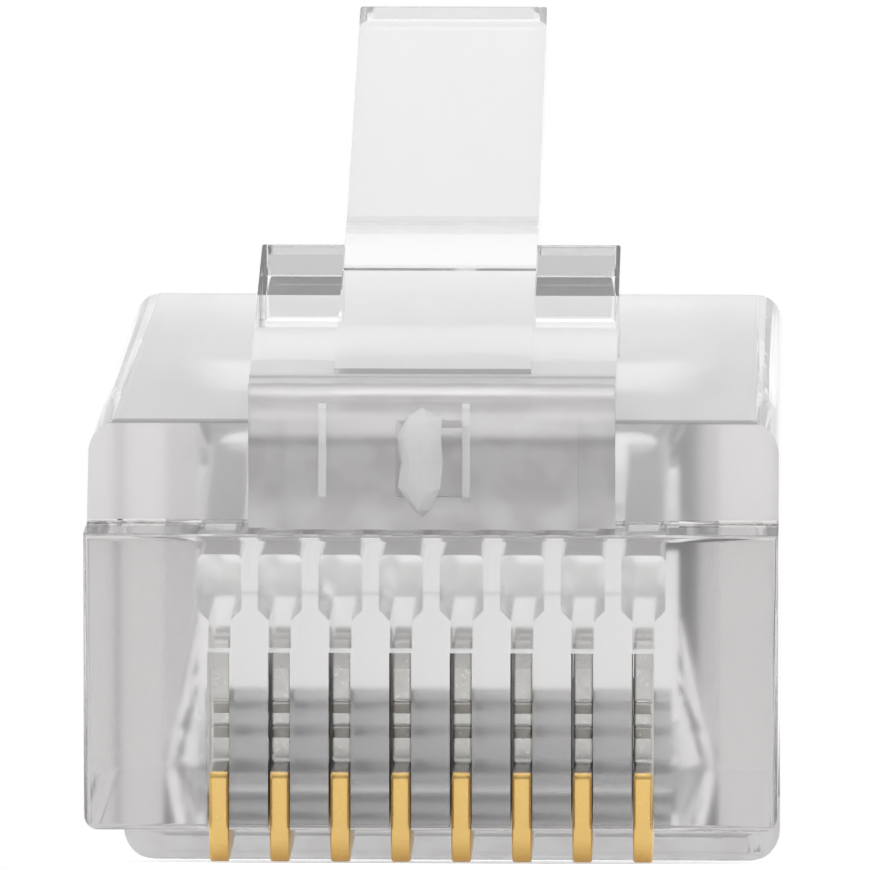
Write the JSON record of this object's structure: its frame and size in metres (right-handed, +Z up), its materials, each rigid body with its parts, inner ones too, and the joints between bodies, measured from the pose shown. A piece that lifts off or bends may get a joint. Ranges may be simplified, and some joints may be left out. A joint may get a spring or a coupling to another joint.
{
  "type": "rj45 modular plug",
  "caption": "Clear modular plug, uncrimped: stepped nose with gold contact blades, comb of wire channels, sprung latch swept up and back, deep open collar for the cable.",
  "frame": {"origin": "on the bench under the middle of the resting plug's length, on its middle plane", "axes": "+X across the plug to the right seen from the front of the nose, +Y back towards the cable end, +Z up; the plug's own length leans 8.4 degrees nose down, as it rests on its blades and its collar"},
  "size_m": [0.0116, 0.0224, 0.0152],
  "materials": {
    "clear_plastic": "crystal clear moulded polycarbonate",
    "gold_contact": "gold plated phosphor bronze blade"
  },
  "bodies": {
    "housing_body": {"housing": "clear_plastic"},
    "latch_arm": {"latch": "clear_plastic"},
    "contact_1_blade": {"contact_1": "gold_contact"},
    "contact_2_blade": {"contact_2": "gold_contact"},
    "contact_3_blade": {"contact_3": "gold_contact"},
    "contact_4_blade": {"contact_4": "gold_contact"},
    "contact_5_blade": {"contact_5": "gold_contact"},
    "contact_6_blade": {"contact_6": "gold_contact"},
    "contact_7_blade": {"contact_7": "gold_contact"},
    "contact_8_blade": {"contact_8": "gold_contact"},
    "cable_clamp": {"cable_clamp_bar": "clear_plastic"},
    "wire_anchor": {"wire_anchor_bar": "clear_plastic"}
  },
  "joints": [
    {"name": "latch_flex", "type": "hinge", "parent": "housing_body", "child": "latch_arm", "pos_m": [0, -0.00997, 0.00781], "axis": [1, 0, 0], "range_deg": [-5, 0], "stiffness_Nm_per_rad": 0.3},
    {"name": "contact_1_crimp", "type": "slide", "parent": "housing_body", "child": "contact_1_blade", "axis": [0, -0.1461, 0.9893], "range_m": [0, 0.0011]},
    {"name": "contact_2_crimp", "type": "slide", "parent": "housing_body", "child": "contact_2_blade", "axis": [0, -0.1461, 0.9893], "range_m": [0, 0.0011]},
    {"name": "contact_3_crimp", "type": "slide", "parent": "housing_body", "child": "contact_3_blade", "axis": [0, -0.1461, 0.9893], "range_m": [0, 0.0011]},
    {"name": "contact_4_crimp", "type": "slide", "parent": "housing_body", "child": "contact_4_blade", "axis": [0, -0.1461, 0.9893], "range_m": [0, 0.0011]},
    {"name": "contact_5_crimp", "type": "slide", "parent": "housing_body", "child": "contact_5_blade", "axis": [0, -0.1461, 0.9893], "range_m": [0, 0.0011]},
    {"name": "contact_6_crimp", "type": "slide", "parent": "housing_body", "child": "contact_6_blade", "axis": [0, -0.1461, 0.9893], "range_m": [0, 0.0011]},
    {"name": "contact_7_crimp", "type": "slide", "parent": "housing_body", "child": "contact_7_blade", "axis": [0, -0.1461, 0.9893], "range_m": [0, 0.0011]},
    {"name": "contact_8_crimp", "type": "slide", "parent": "housing_body", "child": "contact_8_blade", "axis": [0, -0.1461, 0.9893], "range_m": [0, 0.0011]},
    {"name": "cable_clamp_bar_press", "type": "hinge", "parent": "housing_body", "child": "cable_clamp", "pos_m": [0, 0.00497, 0.00183], "axis": [-1, 0, 0], "range_deg": [0, 22]},
    {"name": "wire_anchor_bar_press", "type": "hinge", "parent": "housing_body", "child": "wire_anchor", "pos_m": [0, -0.00003, 0.00251], "axis": [-1, 0, 0], "range_deg": [0, 20]}
  ]
}
